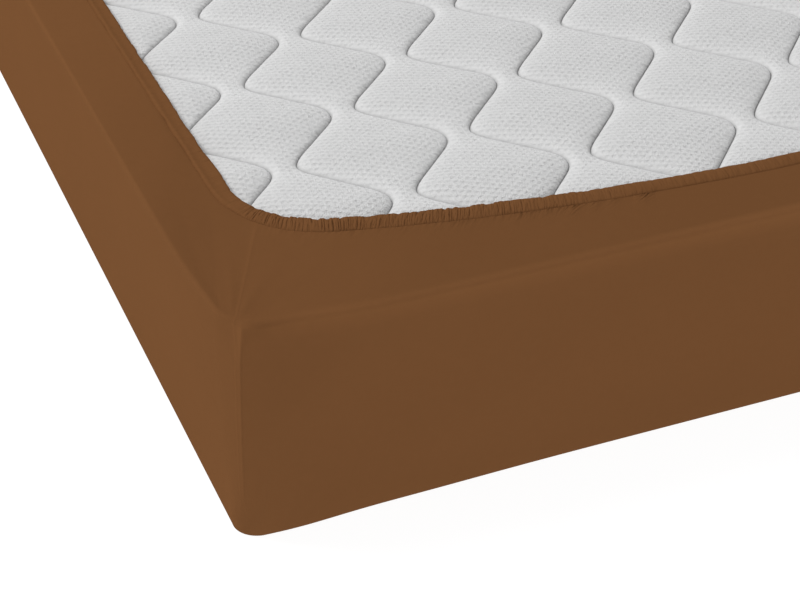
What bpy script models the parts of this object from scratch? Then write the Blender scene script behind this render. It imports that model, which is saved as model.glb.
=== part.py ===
"""A fitted sheet stretched over a mattress that lies with its face down.

The sheet is one cloth: a flat panel underneath, four walls, a band turned in over the
upper edge, and a hem that an inner elastic draws up into a raised strip round an opening.
Metres, +Z up, the origin in the middle of the flat underside, length along Y.

Plan positions are worked out for one quarter in corner coordinates: u is the distance
from the long wall and v the distance from the short wall. The four quarters mirror it.
"""
import math

import bpy
import numpy as np

# The stretched sheet, outside the cloth
WIDTH = 1.400
LENGTH = 2.000
HEIGHT = 0.250
CLOTH = 0.002
HEM_CLOTH = 0.004

# Edges and corners of the walls
FOOT_CORNER_RADIUS = 0.032
TOP_CORNER_RADIUS = 0.055
FOOT_EDGE_RADIUS = 0.006
TOP_EDGE_RADIUS = 0.012

# How the elastic draws the upper edge in beside a corner: how far, over what reach, how abruptly
LONG_DRAW = {"depth": 0.010, "reach": 0.105, "power": 2}
SHORT_DRAW = {"depth": 0.012, "reach": 0.125, "power": 4}
DRAW_RISE_POWER = 2.0

# The foot of the short wall swells out beside each corner
FOOT_SWELL = {"depth": 0.005, "middle": 0.080, "reach": 0.060}
WALL_BELLY = 0.002

# The opening: straight long edges, bowed short edges, round corners
LONG_TURN_IN = 0.093
SHORT_TURN_IN = 0.106
SHORT_EDGE_RADIUS = 2.021
OPENING_CORNER_RADIUS = 0.120

# The hem strip from its stitched side to its free edge: distance from the edge, height over the band
HEM_SECTION = [
    {"from_edge": 0.0220, "rise": -0.0005},
    {"from_edge": 0.0190, "rise": 0.0028},
    {"from_edge": 0.0125, "rise": 0.0050},
    {"from_edge": 0.0055, "rise": 0.0050},
    {"from_edge": 0.0000, "rise": 0.0030},
]
BAND_SHARES = (0.35, 0.70)

# The mattress inside
GAP = 0.0005
MATTRESS_FOOT_EDGE_RADIUS = 0.010
MATTRESS_TOP_EDGE_RADIUS = 0.016

# Steps of the mesh; along the sides they crowd towards the corners
LONG_STEPS = 10
CORNER_STEPS = 8
SHORT_STEPS = 9
SIDE_CROWDING = 1.6
EDGE_STEPS = 4
WALL_STEPS = 4

RIGHT_ANGLE = math.pi / 2

# Circles that bound the opening, tangent to each other
SHORT_EDGE_CENTRE = (WIDTH / 2, SHORT_TURN_IN + SHORT_EDGE_RADIUS)
CIRCLE_DISTANCE = SHORT_EDGE_RADIUS - OPENING_CORNER_RADIUS
CORNER_CENTRE_U = LONG_TURN_IN + OPENING_CORNER_RADIUS
TANGENT_ANGLE = math.acos((SHORT_EDGE_CENTRE[0] - CORNER_CENTRE_U) / CIRCLE_DISTANCE)
CORNER_CENTRE_V = SHORT_EDGE_CENTRE[1] - CIRCLE_DISTANCE * math.sin(TANGENT_ANGLE)


def remove_objects():
    for item in list(bpy.data.objects):
        bpy.data.objects.remove(item, do_unlink=True)


def make_material(name, colour, roughness):
    material = bpy.data.materials.new(name)
    material.use_nodes = True
    material.diffuse_color = (*colour, 1.0)
    shader = material.node_tree.nodes["Principled BSDF"]
    shader.inputs["Base Color"].default_value = (*colour, 1.0)
    shader.inputs["Roughness"].default_value = roughness
    shader.inputs["Metallic"].default_value = 0.0
    return material


def quarter_columns():
    """One row for each column, from the middle of a long side to the middle of a short one:
    share of the long side still to go, share of the corner turned, share of the short side done."""
    long_shares = [(step / LONG_STEPS) ** SIDE_CROWDING for step in range(LONG_STEPS, 0, -1)]
    short_shares = [(step / SHORT_STEPS) ** SIDE_CROWDING for step in range(1, SHORT_STEPS + 1)]
    long_side = [(share, 0.0, 0.0) for share in long_shares]
    corner = [(0.0, step / CORNER_STEPS, 0.0) for step in range(CORNER_STEPS + 1)]
    short_side = [(0.0, 1.0, share) for share in short_shares]
    return np.array(long_side + corner + short_side)


def wall_outline(columns, radius, inset):
    """Rounded rectangle, its straight sides an inset away from the ideal walls."""
    long_share, turn, short_share = columns.T
    angle = turn * RIGHT_ANGLE
    u = radius - (radius - inset) * np.cos(angle) + short_share * (WIDTH / 2 - radius)
    v = radius - (radius - inset) * np.sin(angle) + long_share * (LENGTH / 2 - radius)
    return np.column_stack([u, v])


def opening_outline(columns):
    """A straight long edge, then a corner arc, then half of the bowed short edge."""
    long_share, turn, short_share = columns.T
    corner_angle = turn * TANGENT_ANGLE
    short_angle = TANGENT_ANGLE + short_share * (RIGHT_ANGLE - TANGENT_ANGLE)
    on_short = short_share > 0
    corner_u = CORNER_CENTRE_U - OPENING_CORNER_RADIUS * np.cos(corner_angle)
    corner_v = CORNER_CENTRE_V - OPENING_CORNER_RADIUS * np.sin(corner_angle)
    corner_v = corner_v + long_share * (LENGTH / 2 - CORNER_CENTRE_V)
    short_u = SHORT_EDGE_CENTRE[0] - SHORT_EDGE_RADIUS * np.cos(short_angle)
    short_v = SHORT_EDGE_CENTRE[1] - SHORT_EDGE_RADIUS * np.sin(short_angle)
    u = np.where(on_short, short_u, corner_u)
    v = np.where(on_short, short_v, corner_v)
    return np.column_stack([u, v])


def draw_in(distance, side):
    return side["depth"] * np.exp(-(distance / side["reach"]) ** side["power"])


def side_shift(columns, points, height):
    """How far each column lies inside the ideal wall: drawn in above, swollen at the foot."""
    turn = columns[:, 1]
    level = min(max(height / HEIGHT, 0.0), 1.0)
    drawn = (1 - turn) * draw_in(points[:, 1], LONG_DRAW) + turn * draw_in(points[:, 0], SHORT_DRAW)
    off_middle = (points[:, 0] - FOOT_SWELL["middle"]) / FOOT_SWELL["reach"]
    swollen = turn * FOOT_SWELL["depth"] * np.exp(-off_middle ** 2)
    belly = WALL_BELLY * math.sin(math.pi * level)
    return drawn * level ** DRAW_RISE_POWER - swollen * (1 - level) ** 2 - belly


def wall_ring(columns, inset, height):
    """Closed-side outline at a height, with the corner widening towards the top."""
    level = min(max(height / HEIGHT, 0.0), 1.0)
    radius = FOOT_CORNER_RADIUS + (TOP_CORNER_RADIUS - FOOT_CORNER_RADIUS) * level
    points = wall_outline(columns, radius, inset)
    angle = columns[:, 1] * RIGHT_ANGLE
    shift = side_shift(columns, wall_outline(columns, radius, 0.0), height)
    points = points + np.column_stack([np.cos(angle), np.sin(angle)]) * shift[:, None]
    return np.column_stack([points, np.full(len(points), height)])


def shell_rings(columns, inset, bottom, top, foot_radius, top_radius):
    """Rings from the flat underside, round the foot edge, up the wall and round the top edge."""
    rings = []
    for step in range(EDGE_STEPS + 1):
        angle = RIGHT_ANGLE * step / EDGE_STEPS
        side = inset + foot_radius * (1 - math.sin(angle))
        rings.append(wall_ring(columns, side, bottom + foot_radius * (1 - math.cos(angle))))
    for step in range(1, WALL_STEPS):
        low = bottom + foot_radius
        high = top - top_radius
        rings.append(wall_ring(columns, inset, low + (high - low) * step / WALL_STEPS))
    for step in range(EDGE_STEPS + 1):
        angle = RIGHT_ANGLE * step / EDGE_STEPS
        side = inset + top_radius * (1 - math.cos(angle))
        rings.append(wall_ring(columns, side, top - top_radius * (1 - math.sin(angle))))
    return rings


def band_rings(columns, edge_ring):
    """Rings across the flat band, from the rounded top edge to the stitched side of the hem."""
    opening = opening_outline(columns)
    outward = edge_ring[:, :2] - opening
    outward = outward / np.linalg.norm(outward, axis=1)[:, None]
    hem_side = opening + outward * HEM_SECTION[0]["from_edge"]
    rings = []
    for share in BAND_SHARES:
        plan = edge_ring[:, :2] * (1 - share) + hem_side * share
        rings.append(np.column_stack([plan, np.full(len(plan), HEIGHT)]))
    return rings


def hem_rings(columns, edge_ring):
    """Rings over the raised strip that the elastic draws up, down to its free edge."""
    opening = opening_outline(columns)
    outward = edge_ring[:, :2] - opening
    outward = outward / np.linalg.norm(outward, axis=1)[:, None]
    rings = []
    for row in HEM_SECTION:
        plan = opening + outward * row["from_edge"]
        rings.append(np.column_stack([plan, np.full(len(plan), HEIGHT + row["rise"])]))
    return rings


def whole_loop(quarter_ring):
    """Four mirrored quarters of a ring as one counter-clockwise loop in world coordinates."""
    u, v, z = quarter_ring.T
    across = WIDTH / 2 - u
    along = LENGTH / 2 - v
    left_front = np.column_stack([-across, -along, z])
    right_front = np.column_stack([across, -along, z])[::-1]
    right_back = np.column_stack([across, along, z])
    left_back = np.column_stack([-across, along, z])[::-1]
    return np.vstack([left_front[:-1], right_front[:-1], right_back[:-1], left_back[:-1]])


def skin(name, rings, close_top):
    """A mesh through closed loops, listed from the underside up, with a flat face below."""
    loops = [whole_loop(ring) for ring in rings]
    count = len(loops[0])
    faces = [tuple(reversed(range(count)))]
    for level in range(len(loops) - 1):
        for column in range(count):
            after = (column + 1) % count
            low = level * count
            high = low + count
            faces.append((low + column, low + after, high + after, high + column))
    if close_top:
        start = (len(loops) - 1) * count
        faces.append(tuple(range(start, start + count)))
    mesh = bpy.data.meshes.new(name)
    mesh.from_pydata([tuple(point) for point in np.vstack(loops)], [], faces)
    mesh.validate()
    mesh.shade_smooth()
    mesh.set_sharp_from_angle(angle=math.radians(40))
    piece = bpy.data.objects.new(name, mesh)
    bpy.context.scene.collection.objects.link(piece)
    return piece, count


def make_sheet():
    columns = quarter_columns()
    shell = shell_rings(columns, 0.0, 0.0, HEIGHT, FOOT_EDGE_RADIUS, TOP_EDGE_RADIUS)
    rings = shell + band_rings(columns, shell[-1]) + hem_rings(columns, shell[-1])
    sheet, count = skin("fitted_sheet", rings, close_top=False)
    hem_start = (len(rings) - len(HEM_SECTION) + 1) * count
    total = len(sheet.data.vertices)
    thick = sheet.vertex_groups.new(name="hem")
    thick.add(range(hem_start), CLOTH / HEM_CLOTH, "REPLACE")
    thick.add(range(hem_start, total), 1.0, "REPLACE")
    cloth = sheet.modifiers.new("cloth", "SOLIDIFY")
    cloth.thickness = HEM_CLOTH
    cloth.offset = -1.0
    cloth.use_even_offset = True
    cloth.vertex_group = "hem"
    sheet.data.materials.append(make_material("brown cloth", (0.185, 0.083, 0.033), 0.85))
    return sheet


def make_mattress():
    columns = quarter_columns()
    inset = CLOTH + GAP
    top = HEIGHT + HEM_SECTION[0]["rise"] - inset
    rings = shell_rings(columns, inset, inset, top, MATTRESS_FOOT_EDGE_RADIUS, MATTRESS_TOP_EDGE_RADIUS)
    mattress, _ = skin("mattress", rings, close_top=True)
    mattress.data.materials.append(make_material("white knit", (0.78, 0.78, 0.77), 0.80))
    return mattress


remove_objects()
make_sheet()
make_mattress()
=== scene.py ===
import math

import bpy
import numpy as np
from mathutils import Matrix


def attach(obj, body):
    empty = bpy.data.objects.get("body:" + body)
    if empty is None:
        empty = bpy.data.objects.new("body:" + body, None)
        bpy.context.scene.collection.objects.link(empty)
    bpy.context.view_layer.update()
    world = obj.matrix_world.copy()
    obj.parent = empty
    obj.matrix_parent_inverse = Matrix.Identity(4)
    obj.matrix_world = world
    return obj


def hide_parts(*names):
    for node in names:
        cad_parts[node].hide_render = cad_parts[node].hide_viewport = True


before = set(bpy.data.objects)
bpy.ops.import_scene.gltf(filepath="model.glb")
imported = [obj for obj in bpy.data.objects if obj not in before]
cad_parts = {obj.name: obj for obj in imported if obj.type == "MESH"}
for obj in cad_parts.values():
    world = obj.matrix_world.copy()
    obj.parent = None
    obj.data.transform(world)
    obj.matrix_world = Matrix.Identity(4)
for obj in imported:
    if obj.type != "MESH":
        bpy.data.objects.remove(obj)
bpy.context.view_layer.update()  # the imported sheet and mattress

# The mattress lies face down in its fitted sheet. Metres, Z up, the middle of the flat underside at the
# origin. u and v are a point's distances from the long and the short wall; four quarters mirror them.

bed = {
    "width": 1.400,
    "length": 2.000,
    "height": 0.250,
    "footCorner": 0.024,  # radius of the upright corner at the foot, then at the top
    "topCorner": 0.055,
    "footEdge": 0.0018,
    "longTopEdge": 0.0045,  # rounding of the upper edge: crisper on the long sides than on the short
    "shortTopEdge": 0.0075,
    "topEdgeChange": (-0.05, 0.09),  # places from the seam between which it changes
    "longDraw": {"depth": 0.010, "reach": 0.105, "power": 2},  # how the elastic draws the upper edge in
    "shortDraw": {"depth": 0.012, "reach": 0.125, "power": 4},
    "drawPower": 2.0,
    "footSwells": ((0.0062, 0.055, 0.070), (0.0028, 0.180, 0.120)),  # depth, middle, reach beside a corner
    "belly": 0.002,
}

opening = {
    "longTurnIn": 0.093,
    "shortTurnIn": 0.106,
    "shortRadius": 2.021,  # the short edges bow
    "cornerRadius": 0.120,
}

rightAngle = math.pi / 2
halfWidth = bed["width"] / 2
halfLength = bed["length"] / 2

# Two tangent circles bound a quarter of the opening: a small one at the corner, a wide one for the bow.
bowCentre = (halfWidth, opening["shortTurnIn"] + opening["shortRadius"])
cornerCentreU = opening["longTurnIn"] + opening["cornerRadius"]
radiusGap = opening["shortRadius"] - opening["cornerRadius"]
tangentAngle = math.acos((bowCentre[0] - cornerCentreU) / radiusGap)
cornerCentreV = bowCentre[1] - radiusGap * math.sin(tangentAngle)
longRun = halfLength - cornerCentreV
cornerRun = opening["cornerRadius"] * tangentAngle
shortRun = opening["shortRadius"] * (rightAngle - tangentAngle)
quarterRun = longRun + cornerRun + shortRun
loopRun = 4 * quarterRun
seamRun = longRun + cornerRun / 2


def placeOn(distance):
    # A distance round the opening, from the middle of the left long side by the near left corner. Whole
    # quarters say which corner it is; the rest is split into shares of long side, corner and short side.
    quarter = np.floor(distance / quarterRun).astype(int)
    passed = distance - quarter * quarterRun
    quarter = quarter % 4
    backwards = quarter % 2 == 1
    run = np.where(backwards, quarterRun - passed, passed)
    return {
        "fromSeam": run - seamRun,
        "quarter": quarter,
        "onward": np.where(backwards, -1.0, 1.0),
        "long": np.clip(1 - run / longRun, 0, 1),
        "turn": np.clip((run - longRun) / cornerRun, 0, 1),
        "short": np.clip((run - longRun - cornerRun) / shortRun, 0, 1),
        "sideX": np.where((quarter == 0) | (quarter == 3), -1.0, 1.0),
        "sideY": np.where(quarter < 2, -1.0, 1.0),
    }


def together(*parts):
    # Numbers and arrays, each made as large as the largest, as the parts of one array of vectors.
    return np.stack(np.broadcast_arrays(*parts), axis=-1)


def toWorld(place, u, v, z):
    # x = side * (half width - u) and y = side * (half length - v), so each quarter mirrors the next.
    return together(place["sideX"] * (halfWidth - u), place["sideY"] * (halfLength - v), z)


def openingPoint(place, outward):
    # The corner arc and the bow, moved outwards from the free edge of the hem by a distance.
    cornerAngle = place["turn"] * tangentAngle
    bowAngle = tangentAngle + place["short"] * (rightAngle - tangentAngle)
    onBow = place["short"] > 0
    angle = np.where(onBow, bowAngle, cornerAngle)
    radius = np.where(onBow, opening["shortRadius"], opening["cornerRadius"]) + outward
    centreU = np.where(onBow, bowCentre[0], cornerCentreU)
    centreV = np.where(onBow, bowCentre[1], cornerCentreV + place["long"] * longRun)
    return centreU - radius * np.cos(angle), centreV - radius * np.sin(angle)


def smoothStep(low, high, value):
    # 0 below low, 1 above high, 3t^2 - 2t^3 between.
    share = np.clip((value - low) / (high - low), 0, 1)
    return share * share * (3 - 2 * share)


def hump(value, middle, reach):
    # A bell: exp(-((value - middle) / reach)^2).
    return np.exp(-((value - middle) / reach) ** 2)


def fadeInOut(rise, fall, value):
    # Grows between the two rise values and fades between the two fall values.
    return smoothStep(*rise, value) * (1 - smoothStep(*fall, value))


def blend(first, second, share):
    # first + (second - first) * share.
    return first + (second - first) * share


strip = {
    "wider": 0.14,  # shares of the hem's width: more where it is gathered beside the corner
    "widerFrom": (-0.03, 0.04),
    "widerTo": (0.18, 0.48),
    "narrower": 0.12,  # and less along the long side
    "narrowerFrom": (0.0, 0.06),
}


def stripWidth(fromSeam):
    # 1 + wider beside the corner - narrower along the long side.
    gathered = fadeInOut(strip["widerFrom"], strip["widerTo"], fromSeam)
    return 1 + strip["wider"] * gathered - strip["narrower"] * smoothStep(*strip["narrowerFrom"], -fromSeam)


def loopNoise(distance, pitch, seed):
    # Random values at even places round the loop, joined by smooth steps, between -1 and 1.
    count = int(round(loopRun / pitch))
    values = np.random.default_rng(seed).uniform(-1, 1, count)
    spot = (distance / loopRun) * count
    low = np.floor(spot).astype(int)
    return blend(values[low % count], values[(low + 1) % count], smoothStep(0.0, 1.0, spot - low))


def mixedNoise(distance, parts):
    # The sum of share * noise over parts of a share, a pitch and a seed.
    return sum(share * loopNoise(distance, pitch, seed) for share, pitch, seed in parts)


def gridFaces(rows, columns, closed):
    # Quads between neighbouring rows and columns; a closed grid joins its last column to its first.
    wide = columns if closed else columns - 1
    row, column = np.meshgrid(np.arange(rows - 1), np.arange(wide), indexing="ij")
    here = row * columns + column
    after = row * columns + (column + 1) % columns
    return together(here, after, after + columns, here + columns).reshape(-1, 4)


def gridCorners(values):
    # The same corners as gridFaces, for values that have one column more than a closed grid.
    corners = [values[:-1, :-1], values[:-1, 1:], values[1:, 1:], values[1:, :-1]]
    return np.stack(corners, axis=2).reshape(-1, values.shape[-1])


def addObject(name, data):
    # An object in the scene, at the origin.
    made = bpy.data.objects.new(name, data)
    bpy.context.scene.collection.objects.link(made)
    return made


def makePiece(name, points, faceSets, material, cornerUv=None):
    # Whole arrays of vertices and of faces; each set of faces has its own number of corners.
    corners = np.concatenate([faces.ravel() for faces in faceSets]).astype(np.int32)
    sizes = np.concatenate([np.full(len(faces), faces.shape[1]) for faces in faceSets])
    mesh = bpy.data.meshes.new(name)
    mesh.vertices.add(len(points))
    mesh.vertices.foreach_set("co", points.astype(np.float32).ravel())
    mesh.loops.add(len(corners))
    mesh.loops.foreach_set("vertex_index", corners)
    mesh.polygons.add(len(sizes))
    mesh.polygons.foreach_set("loop_start", (np.cumsum(sizes) - sizes).astype(np.int32))
    mesh.update(calc_edges=True)
    if cornerUv is not None:
        mesh.uv_layers.new(name="lay").data.foreach_set("uv", cornerUv.astype(np.float32).ravel())
    mesh.validate()
    mesh.shade_smooth()
    mesh.materials.append(material)
    piece = addObject(name, mesh)
    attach(piece, "root")
    print(name, "has", len(points), "points and", len(sizes), "faces")
    return piece


def addValues(piece, name, values, width):
    # One value or vector for each vertex, for the material to read by its name; the points left over get 0.
    kind, field = ("FLOAT", "value") if width == 1 else ("FLOAT_VECTOR", "vector")
    whole = np.zeros((len(piece.data.vertices), width), dtype=np.float32)
    whole[:values.size // width] = values.reshape(-1, width)
    piece.data.attributes.new(name, kind, "POINT").data.foreach_set(field, whole.ravel())


def addNode(tree, kind, values=None, **settings):
    # A node with its settings. Each named or numbered input is linked if it gets a socket, else set.
    node = tree.nodes.new("ShaderNode" + kind)
    for name, value in settings.items():
        setattr(node, name, value)
    for name, value in (values or {}).items():
        if isinstance(value, bpy.types.NodeSocket):
            tree.links.new(value, node.inputs[name])
        else:
            node.inputs[name].default_value = value
    return node.outputs


def addMath(tree, operation, *sources):
    # The result of one Math node on numbers and sockets.
    return addNode(tree, "Math", dict(enumerate(sources)), operation=operation)[0]


def addVector(tree, operation, *sources):
    # The same for vectors, with all of the node's outputs.
    return addNode(tree, "VectorMath", dict(enumerate(sources)), operation=operation)


def addRange(tree, value, fromMin, fromMax, toMin=0.0, toMax=1.0):
    # toMin + (toMax - toMin) * (value - fromMin) / (fromMax - fromMin), held between toMin and toMax.
    limits = {"Value": value, "From Min": fromMin, "From Max": fromMax, "To Min": toMin, "To Max": toMax}
    return addNode(tree, "MapRange", limits)["Result"]


def addNoise(tree, vector, scale, detail, roughness=0.5):
    # Smooth noise with about scale waves in each unit of the vector; detail adds finer layers of it.
    values = {"Vector": vector, "Scale": scale, "Detail": detail, "Roughness": roughness}
    return addNode(tree, "TexNoise", values)


def addDrawnNoise(tree, along, across, repeats, detail):
    # Noise that repeats more often one way than the other, so that it makes streaks.
    spot = addNode(tree, "CombineXYZ", {
        "X": addMath(tree, "MULTIPLY", along, repeats[0]),
        "Y": addMath(tree, "MULTIPLY", across, repeats[1])})
    return addNoise(tree, spot[0], 1.0, detail)["Fac"]


def readValues(tree, name, output):
    # The piece's own values of that name, at each point of its surface.
    return addNode(tree, "Attribute", attribute_name=name)[output]


def startGroup(name, inputs, outputs):
    # A shader node group. An input whose value is None is a vector; the rest and all outputs are numbers.
    group = bpy.data.node_groups.new(name, "ShaderNodeTree")
    for socketName, value in inputs.items():
        kind = "NodeSocketVector" if value is None else "NodeSocketFloat"
        socket = group.interface.new_socket(name=socketName, in_out="INPUT", socket_type=kind)
        if value is not None:
            socket.default_value = value
    for socketName in outputs:
        group.interface.new_socket(name=socketName, in_out="OUTPUT", socket_type="NodeSocketFloat")
    return group, group.nodes.new("NodeGroupInput").outputs, group.nodes.new("NodeGroupOutput").inputs


slubRepeats = ((900.0, 60.0), (60.0, 900.0))  # in a metre across and along the warp, then the weft


def makeWeaveGroup():
    # Plain weave on the piece's own UV map in metres: sin(pi x / thread) * sin(pi y / thread) lifts every
    # other crossing, and noise drawn out along each thread makes slubs.
    group, given, wanted = startGroup(
        "plainWeave", {"Vector": None, "Thread": 0.0005, "Slub": 0.3}, ["Height", "Shade"])
    split = addNode(group, "SeparateXYZ", {"Vector": given["Vector"]})
    turns = addMath(group, "DIVIDE", math.pi, given["Thread"])
    waves = [addMath(group, "SINE", addMath(group, "MULTIPLY", split[axis], turns)) for axis in "XY"]
    crossing = addMath(group, "MULTIPLY", *waves)
    warp, weft = [addDrawnNoise(group, split["X"], split["Y"], repeats, 2.0) for repeats in slubRepeats]
    slub = addMath(group, "SUBTRACT", addMath(group, "ADD", warp, weft), 1.0)
    slub = addMath(group, "MULTIPLY", slub, given["Slub"])
    group.links.new(addMath(group, "MULTIPLY_ADD", crossing, 0.5, slub), wanted["Height"])
    group.links.new(addMath(group, "ADD", slub, 0.5), wanted["Shade"])
    return group


lattice = {
    "shares": (0.8, 1.8, 0.3),  # of cos a, cos b and cos(a - b) in a dimple
    "range": (-1.0, 3.0),  # about their sum at the edge and in the middle of one
    "wanderScale": 55.0,
    "patchScale": 90.0,
    "patches": (0.35, 0.65, 0.62),  # values of the noise, and the strength that is left at the first
    "yarnScale": 600.0,
    "yarnHeight": 0.3,
}


def makeKnitGroup():
    # Dimples on a lattice. First and Second hold how often it repeats in a metre along x and y. With
    # a = 2 pi dot(first, place) and b = 2 pi dot(second, place), a sum of cos a, cos b and cos(a - b) peaks
    # once in each cell; b is the strongest, so the dimples are drawn out into rows. Noise moves and weakens
    # them, and a finer noise roughens the yarn between them.
    group, given, wanted = startGroup(
        "dimpledKnit", {"Vector": None, "First": None, "Second": None, "Wander": 0.0010, "Rough": 1.0},
        ["Height", "Dimple"])
    place = given["Vector"]
    wander = addNoise(group, place, lattice["wanderScale"], 1.0)["Color"]
    away = addVector(group, "SUBTRACT", wander, (0.5, 0.5, 0.5))[0]
    moved = addVector(group, "MULTIPLY_ADD", away, given["Wander"], place)[0]
    turns = []
    for name in ("First", "Second"):
        repeats = addVector(group, "DOT_PRODUCT", moved, given[name])["Value"]
        turns.append(addMath(group, "MULTIPLY", repeats, 2 * math.pi))
    total = 0.0
    for angle, part in zip([*turns, addMath(group, "SUBTRACT", *turns)], lattice["shares"]):
        total = addMath(group, "MULTIPLY_ADD", addMath(group, "COSINE", angle), part, total)
    patchy = addNoise(group, place, lattice["patchScale"], 2.0)["Fac"]
    strength = addRange(group, patchy, *lattice["patches"])
    dimple = addMath(group, "MULTIPLY", addRange(group, total, *lattice["range"]), strength)
    yarn = addMath(group, "SUBTRACT", addNoise(group, place, lattice["yarnScale"], 1.0)["Fac"], 0.5)
    rough = addMath(group, "MULTIPLY_ADD", yarn, given["Rough"], lattice["yarnHeight"])
    group.links.new(addMath(group, "SUBTRACT", rough, dimple), wanted["Height"])
    group.links.new(dimple, wanted["Dimple"])
    return group


finerMottle = 14.0  # how much finer the second noise is


def makeMottleGroup():
    # Slow patches of a shade: two noises of different scale, brought to -1 to 1, times Amount, plus 1.
    group, given, wanted = startGroup(
        "softMottle", {"Vector": None, "Scale": 6.0, "Amount": 0.03}, ["Factor"])
    fineScale = addMath(group, "MULTIPLY", given["Scale"], finerMottle)
    wide = addNoise(group, given["Vector"], given["Scale"], 2.0)["Fac"]
    fine = addNoise(group, given["Vector"], fineScale, 3.0, 0.6)["Fac"]
    both = addMath(group, "SUBTRACT", addMath(group, "ADD", wide, fine), 1.0)
    group.links.new(addMath(group, "MULTIPLY_ADD", both, given["Amount"], 1.0), wanted["Factor"])
    return group


plainWeave = makeWeaveGroup()
dimpledKnit = makeKnitGroup()
softMottle = makeMottleGroup()


def startMaterial(name, values):
    # A material with the given values on its shader's own sockets.
    material = bpy.data.materials.new(name)
    material.use_nodes = True
    shader = material.node_tree.nodes["Principled BSDF"]
    for socketName, value in values.items():
        shader.inputs[socketName].default_value = value
    return material, material.node_tree, shader


def addGroup(tree, group, vector, values):
    # One of the three groups above, on a place and with its values.
    return addNode(tree, "Group", {"Vector": vector, **values}, node_tree=group)


def tintBy(tree, colour, factors, shader):
    # Base colour = a colour times each factor.
    for factor in factors:
        colour = addNode(tree, "VectorMath", {0: colour, "Scale": factor}, operation="SCALE")[0]
    tree.links.new(colour, shader.inputs["Base Color"])


def bumpChain(tree, shader, steps):
    # Bump nodes one after another, each with a height and a depth in metres.
    given = {}
    for height, depth in steps:
        bump = addNode(tree, "Bump", {"Height": height, "Distance": depth, "Strength": 1.0, **given})
        given = {"Normal": bump["Normal"]}
    tree.links.new(given["Normal"], shader.inputs["Normal"])


brownFinish = {
    "colour": (0.187, 0.0815, 0.0312),
    "roughness": 0.88,
    "mottle": {"Scale": 7.0, "Amount": 0.05},
    "weave": {"Thread": 0.00045, "Slub": 0.5},
    "weaveShade": (0.96, 1.04),
    "weaveDepth": 0.00007,
    "paintedLightStrength": 0.22,  # how much lighter or darker the painted light and shade make the cloth
    "pucker": 0.0030,  # depth of the small puckers beside the hem
    "puckerRepeats": (160.0, 45.0),  # in a metre along the hem and across it
}


def makeBrownCloth(name, lighter):
    # Dense plain weave, matt. The piece's own values paint light and shade into its colour: highlights along
    # the short side's upper edge and the corner seam, a pool of light under the edge at the corner, a
    # lighter band on the long side and a darker one on the short. The "puckers" values hold a place along
    # and across the hem and the depth of the small puckers there.
    material, tree, shader = startMaterial(name, {
        "Roughness": brownFinish["roughness"], "Specular IOR Level": 0.0})
    place = addNode(tree, "TexCoord")
    mottle = addGroup(tree, softMottle, place["Object"], brownFinish["mottle"])
    weave = addGroup(tree, plainWeave, place["UV"], brownFinish["weave"])
    shade = addRange(tree, weave["Shade"], 0.0, 1.0, *brownFinish["weaveShade"])
    # Painted light and shade: the piece's own values lift or lower the colour.
    paler = addMath(tree, "MULTIPLY_ADD", readValues(tree, "paintedLight", "Fac"), brownFinish["paintedLightStrength"], 1.0)
    colour = tuple(part * lighter for part in brownFinish["colour"])
    tintBy(tree, colour, [mottle["Factor"], shade, paler], shader)
    split = addNode(tree, "SeparateXYZ", {"Vector": readValues(tree, "puckers", "Vector")})
    crumple = addDrawnNoise(tree, split["X"], split["Y"], brownFinish["puckerRepeats"], 1.5)
    pucker = addMath(tree, "MULTIPLY", crumple, split["Z"])
    bumpChain(tree, shader, [(weave["Height"], brownFinish["weaveDepth"]), (pucker, brownFinish["pucker"])])
    return material


whiteFinish = {
    "colour": (0.793, 0.792, 0.792),
    "shader": {"Roughness": 0.8, "Specular IOR Level": 0.25, "Sheen Weight": 0.08, "Sheen Roughness": 0.4},
    "mottle": {"Scale": 9.0, "Amount": 0.02},
    "knit": {  # repeats of the lattice in a metre along x and y, and the yarn's roughness
        "First": (-74.0, 107.0, 0.0),
        "Second": (62.0, 102.0, 0.0),
        "Rough": 1.1},
    "dimpleDepth": 0.0014,
    "dimpleShade": 0.13,
    "grooveShade": 0.54,  # how much painted shade darkens a stitched line's groove
    "groovePower": 4.5,  # how fast that fades beside it
    "backShare": 0.45,  # what is left of it on lines that run back
    "backSlants": (-1.0, -0.3),
    "tightSlants": (0.1, 0.7),  # slants between which the puckers grow
    "puckerRepeats": (290.0, 1.2),  # in a metre along a line, then across all of a groove
    "pucker": 0.0040,
    # how much the puckers paint their shade into the colour
    "puckerShade": 0.8,
    # how strongly the "shade" values paint shade and light into the quilt's colour
    "paintedShadeAmount": 0.20,
}


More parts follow.
